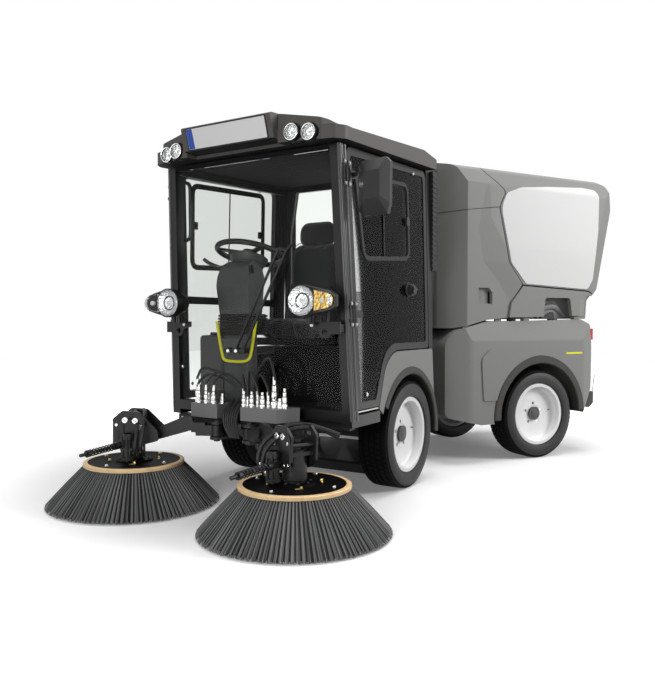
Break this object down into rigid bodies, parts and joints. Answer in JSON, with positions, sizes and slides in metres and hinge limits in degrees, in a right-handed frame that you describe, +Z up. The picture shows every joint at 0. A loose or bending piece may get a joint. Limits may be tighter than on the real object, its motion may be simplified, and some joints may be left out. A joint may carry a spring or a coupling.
{
  "type": "compact articulated road sweeper",
  "caption": "Articulated compact street sweeper with a glazed two-door cab, swing-out disc brushes, suction mouth and a tipping waste container.",
  "frame": {"origin": "On the floor under the middle of the bounding box, with the machine standing turned about its pivot", "axes": "+X towards the left side of the cab, +Y backward along the cab, +Z up"},
  "size_m": [2.3378, 4.1276, 2.0849],
  "materials": {
    "dark_plastic": "fine-grained moulded plastic, satin",
    "black_steel": "black powder coat",
    "black_plastic": "black textured plastic",
    "grey_body": "mid grey satin paint",
    "grey_plastic": "grey moulded plastic",
    "lip_rubber": "dark moulded rubber",
    "white_panel": "off-white gloss paint",
    "tyre": "road tyre rubber",
    "white_rim": "white enamel",
    "tinted_glass": "tinted safety glass",
    "lamp": "clear lens over a bright reflector",
    "tail_lamp": "red and amber lens",
    "upholstery": "black woven seat cover",
    "mirror_shell": "black textured plastic",
    "bristles": "grey-black bristles on a wooden ring",
    "engine": "painted casting"
  },
  "bodies": {
    "front_module": {"front_chassis": "black_steel", "front_axle": "black_steel", "cab_frame": "black_steel", "cab_tub": "black_plastic", "cab_glass": "tinted_glass", "cab_roof": "dark_plastic", "fenders": "grey_body", "front_arch_linings": "lip_rubber", "seat": "upholstery", "steering_column": "grey_plastic", "headlamps": "black_plastic", "work_lights": "lamp", "manifolds": "dark_plastic", "wiper": "black_steel", "air_duct": "black_plastic", "suction_duct": "black_plastic"},
    "suction_unit": {"suction_mouth": "black_steel"},
    "steering": {"steering_wheel": "black_plastic"},
    "wheel_front_left": {"tyre_front_left": "tyre", "rim_front_left": "white_rim"},
    "wheel_front_right": {"tyre_front_right": "tyre", "rim_front_right": "white_rim"},
    "wheel_rear_left": {"tyre_rear_left": "tyre", "rim_rear_left": "white_rim"},
    "wheel_rear_right": {"tyre_rear_right": "tyre", "rim_rear_right": "white_rim"},
    "door_leaf_left": {"door_left": "black_steel", "door_pane_left": "tinted_glass", "mirror_left": "mirror_shell"},
    "door_leaf_right": {"door_right": "black_steel", "door_pane_right": "tinted_glass"},
    "arm_left": {"brush_arm_left": "black_steel"},
    "arm_right": {"brush_arm_right": "black_steel"},
    "link_left": {"brush_link_left": "black_steel"},
    "link_right": {"brush_link_right": "black_steel"},
    "head_left": {"brush_head_left": "black_steel"},
    "head_right": {"brush_head_right": "black_steel"},
    "disc_left": {"brush_left": "bristles"},
    "disc_right": {"brush_right": "bristles"},
    "rear_module": {"rear_chassis": "black_steel", "rear_axle": "black_steel", "lower_body": "grey_body", "side_skirts": "grey_body", "rear_arch_linings": "lip_rubber", "engine_block": "engine", "hood": "grey_body", "tail_lamps": "tail_lamp", "suction_elbow": "black_plastic"},
    "container_unit": {"container": "grey_body", "side_panels": "white_panel"},
    "tailgate_unit": {"tailgate": "grey_body"}
  },
  "joints": [
    {"name": "articulation", "type": "hinge", "parent": "front_module", "child": "rear_module", "pos_m": [-0.188, 0.324, 0.42], "axis": [0, 0, 1], "range_deg": [-8.5, 71.5]},
    {"name": "suction_mouth_lift", "type": "slide", "parent": "front_module", "child": "suction_unit", "axis": [0, 0, 1], "range_m": [0, 0.06]},
    {"name": "steering_turn", "type": "hinge", "parent": "front_module", "child": "steering", "pos_m": [-0.378, -1.023, 1.376], "axis": [0, 0.2756, 0.9613], "continuous": true},
    {"name": "wheel_front_left_spin", "type": "hinge", "parent": "front_module", "child": "wheel_front_left", "pos_m": [0.32, -0.506, 0.316], "axis": [1, 0, 0], "continuous": true},
    {"name": "wheel_front_right_spin", "type": "hinge", "parent": "front_module", "child": "wheel_front_right", "pos_m": [-0.696, -0.506, 0.316], "axis": [1, 0, 0], "continuous": true},
    {"name": "wheel_rear_left_spin", "type": "hinge", "parent": "rear_module", "child": "wheel_rear_left", "pos_m": [0.73461, 0.88219, 0.316], "axis": [0.8526, -0.5225, 0], "continuous": true},
    {"name": "wheel_rear_right_spin", "type": "hinge", "parent": "rear_module", "child": "wheel_rear_right", "pos_m": [-0.1095, 1.39947, 0.316], "axis": [0.8526, -0.5225, 0], "continuous": true},
    {"name": "door_left_hinge", "type": "hinge", "parent": "front_module", "child": "door_leaf_left", "pos_m": [0.42066, -1.19742, 1.018], "axis": [0.0264, 0.0543, -0.9982], "range_deg": [0, 75]},
    {"name": "door_right_hinge", "type": "hinge", "parent": "front_module", "child": "door_leaf_right", "pos_m": [-0.79666, -1.19742, 1.018], "axis": [0.0264, -0.0543, 0.9982], "range_deg": [0, 75]},
    {"name": "brush_left_swing", "type": "hinge", "parent": "front_module", "child": "arm_left", "pos_m": [-0.078, -1.411, 0.4], "axis": [0, 0, 1], "range_deg": [-12, 12]},
    {"name": "brush_left_lift", "type": "hinge", "parent": "arm_left", "child": "link_left", "pos_m": [0.03955, -1.4665, 0.424], "axis": [-0.427, -0.9043, 0], "range_deg": [0, 30]},
    {"name": "brush_left_level", "type": "hinge", "parent": "link_left", "child": "head_left", "pos_m": [0.21425, -1.54899, 0.37224], "axis": [-0.427, -0.9043, 0], "range_deg": [-30, 0]},
    {"name": "brush_left_spin", "type": "hinge", "parent": "head_left", "child": "disc_left", "pos_m": [0.335, -1.606, 0.2], "axis": [0, 0, 1], "continuous": true},
    {"name": "brush_right_swing", "type": "hinge", "parent": "front_module", "child": "arm_right", "pos_m": [-0.298, -1.411, 0.4], "axis": [0, 0, -1], "range_deg": [-12, 12]},
    {"name": "brush_right_lift", "type": "hinge", "parent": "arm_right", "child": "link_right", "pos_m": [-0.41556, -1.4665, 0.424], "axis": [-0.427, 0.9043, 0], "range_deg": [0, 30]},
    {"name": "brush_right_level", "type": "hinge", "parent": "link_right", "child": "head_right", "pos_m": [-0.59025, -1.54899, 0.37224], "axis": [-0.427, 0.9043, 0], "range_deg": [-30, 0]},
    {"name": "brush_right_spin", "type": "hinge", "parent": "head_right", "child": "disc_right", "pos_m": [-0.711, -1.606, 0.2], "axis": [0, 0, 1], "continuous": true},
    {"name": "container_tip", "type": "hinge", "parent": "rear_module", "child": "container_unit", "pos_m": [0.55395, 1.53475, 0.974], "axis": [-0.8526, 0.5225, 0], "range_deg": [0, 50]},
    {"name": "tailgate_lift", "type": "hinge", "parent": "container_unit", "child": "tailgate_unit", "pos_m": [0.71182, 1.79238, 1.852], "axis": [0.8526, -0.5225, 0], "range_deg": [0, 70]}
  ],
  "couplings": [
    {"joint": "brush_left_level", "follows": "brush_left_lift", "ratio": -1},
    {"joint": "brush_right_level", "follows": "brush_right_lift", "ratio": -1}
  ]
}
